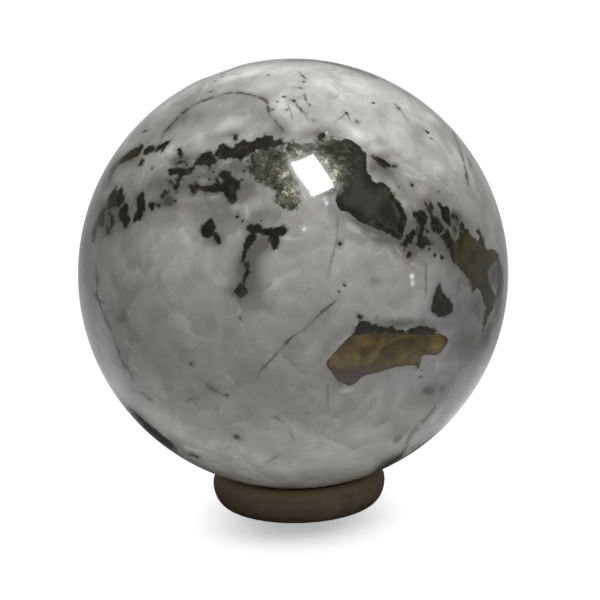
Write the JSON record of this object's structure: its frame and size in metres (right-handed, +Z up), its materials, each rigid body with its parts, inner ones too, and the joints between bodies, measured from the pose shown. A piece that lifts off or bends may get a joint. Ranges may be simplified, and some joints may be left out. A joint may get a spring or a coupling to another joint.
{
  "type": "decorative sphere",
  "caption": "Polished pale feldspar sphere with black and golden-brown inclusions, resting loose in a low turned wooden ring stand.",
  "frame": {"origin": "on the surface that the ring stands on, at the centre of the ring's foot, straight under the sphere's centre", "axes": "+Z up along the ring's axis, -Y towards the pictured side, +X to the right as pictured"},
  "size_m": [0.1, 0.1, 0.1051],
  "materials": {
    "feldspar": "polished, pale grey with black and golden-brown inclusions",
    "stained_wood": "turned, dark brown, satin"
  },
  "bodies": {
    "root": {"stone_sphere": "feldspar", "ring_stand": "stained_wood"}
  },
  "joints": []
}
